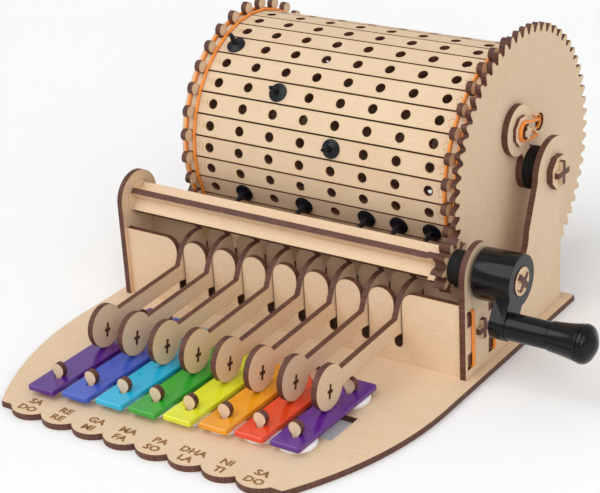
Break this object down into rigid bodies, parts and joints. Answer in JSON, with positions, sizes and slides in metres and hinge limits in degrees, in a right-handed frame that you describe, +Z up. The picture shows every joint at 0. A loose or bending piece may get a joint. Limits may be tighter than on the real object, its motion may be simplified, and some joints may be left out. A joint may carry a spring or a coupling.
{
  "type": "barrel xylophone",
  "caption": "Hand-cranked music machine: a pegged wooden barrel lifts swinging hammers that fall on coloured tone bars; gear, pinion and crank on the right.",
  "frame": {"origin": "on the underside of the base plate, straight below the middle of the drum axle", "axes": "+X along the drum axle towards the crank, +Y to the back, +Z up"},
  "size_m": [0.2666, 0.2783, 0.1426],
  "materials": {
    "plywood": "bare laser-cut plywood with burnt edges",
    "bar_low_purple": "gloss coloured lacquer",
    "bar_blue": "gloss coloured lacquer",
    "bar_cyan": "gloss coloured lacquer",
    "bar_green": "gloss coloured lacquer",
    "bar_yellow": "gloss coloured lacquer",
    "bar_orange": "gloss coloured lacquer",
    "bar_red": "gloss coloured lacquer",
    "bar_high_purple": "gloss coloured lacquer",
    "white_pad": "soft translucent white",
    "orange_silicone": "satin silicone",
    "peg_plastic": "satin black",
    "black_rubber": "matt black",
    "crank_plastic": "glossy black"
  },
  "bodies": {
    "frame": {"base_plate": "plywood", "side_wall_left": "plywood", "side_wall_right": "plywood", "front_panel": "plywood", "rear_panel": "plywood", "panel_tie_bands": "orange_silicone", "bar_pads": "white_pad", "bar_posts": "plywood", "hammer_axle_flat": "plywood", "hammer_axle_upright": "plywood", "tone_bar_1": "bar_low_purple", "tone_bar_2": "bar_blue", "tone_bar_3": "bar_cyan", "tone_bar_4": "bar_green", "tone_bar_5": "bar_yellow", "tone_bar_6": "bar_orange", "tone_bar_7": "bar_red", "tone_bar_8": "bar_high_purple"},
    "drum": {"drum_slats_01_04": "plywood", "drum_slats_05_08": "plywood", "drum_slats_09_12": "plywood", "drum_slats_13_16": "plywood", "drum_slats_17_20": "plywood", "drum_slats_21_24": "plywood", "drum_slats_25_28": "plywood", "drum_slats_29_32": "plywood", "drum_ring_left": "plywood", "drum_ring_right": "plywood", "drum_middle_disc": "plywood", "gear_wheel": "plywood", "drum_bands": "orange_silicone", "program_pegs": "peg_plastic", "drum_axle_flat": "plywood", "drum_axle_upright": "plywood", "axle_cap_left": "plywood", "axle_cap_right": "plywood", "rubber_spacer_inner": "black_rubber", "rubber_spacer_outer": "black_rubber", "lock_arm": "plywood", "lock_arm_cap": "plywood", "lock_pin": "plywood", "lock_band": "orange_silicone"},
    "crank": {"crank_shaft_strip_a": "plywood", "crank_shaft_strip_b": "plywood", "pinion_inner_ply": "plywood", "pinion_outer_ply": "plywood", "shaft_end_disc": "plywood", "shaft_end_button": "plywood", "shaft_spacer": "black_rubber", "crank_handle": "crank_plastic"},
    "knob": {"crank_knob": "crank_plastic"},
    "hammer_1_body": {"hammer_1": "plywood"},
    "hammer_2_body": {"hammer_2": "plywood"},
    "hammer_3_body": {"hammer_3": "plywood"},
    "hammer_4_body": {"hammer_4": "plywood"},
    "hammer_5_body": {"hammer_5": "plywood"},
    "hammer_6_body": {"hammer_6": "plywood"},
    "hammer_7_body": {"hammer_7": "plywood"},
    "hammer_8_body": {"hammer_8": "plywood"}
  },
  "joints": [
    {"name": "drum_spin", "type": "hinge", "parent": "frame", "child": "drum", "pos_m": [0, 0, 0.0738], "axis": [1, 0, 0], "continuous": true},
    {"name": "crank_spin", "type": "hinge", "parent": "frame", "child": "crank", "pos_m": [0, -0.07458, 0.05199], "axis": [1, 0, 0], "continuous": true},
    {"name": "knob_spin", "type": "hinge", "parent": "crank", "child": "knob", "pos_m": [0.15, -0.08544, 0.03461], "axis": [1, 0, 0], "continuous": true},
    {"name": "hammer_1_swing", "type": "hinge", "parent": "frame", "child": "hammer_1_body", "pos_m": [-0.063, -0.0735, 0.0235], "axis": [-1, 0, 0], "range_deg": [0, 25]},
    {"name": "hammer_2_swing", "type": "hinge", "parent": "frame", "child": "hammer_2_body", "pos_m": [-0.045, -0.0735, 0.0235], "axis": [-1, 0, 0], "range_deg": [0, 25]},
    {"name": "hammer_3_swing", "type": "hinge", "parent": "frame", "child": "hammer_3_body", "pos_m": [-0.027, -0.0735, 0.0235], "axis": [-1, 0, 0], "range_deg": [0, 25]},
    {"name": "hammer_4_swing", "type": "hinge", "parent": "frame", "child": "hammer_4_body", "pos_m": [-0.009, -0.0735, 0.0235], "axis": [-1, 0, 0], "range_deg": [0, 25]},
    {"name": "hammer_5_swing", "type": "hinge", "parent": "frame", "child": "hammer_5_body", "pos_m": [0.009, -0.0735, 0.0235], "axis": [-1, 0, 0], "range_deg": [0, 25]},
    {"name": "hammer_6_swing", "type": "hinge", "parent": "frame", "child": "hammer_6_body", "pos_m": [0.027, -0.0735, 0.0235], "axis": [-1, 0, 0], "range_deg": [0, 25]},
    {"name": "hammer_7_swing", "type": "hinge", "parent": "frame", "child": "hammer_7_body", "pos_m": [0.045, -0.0735, 0.0235], "axis": [-1, 0, 0], "range_deg": [0, 25]},
    {"name": "hammer_8_swing", "type": "hinge", "parent": "frame", "child": "hammer_8_body", "pos_m": [0.063, -0.0735, 0.0235], "axis": [-1, 0, 0], "range_deg": [0, 25]}
  ],
  "couplings": [
    {"joint": "crank_spin", "follows": "drum_spin", "ratio": -6.4}
  ]
}
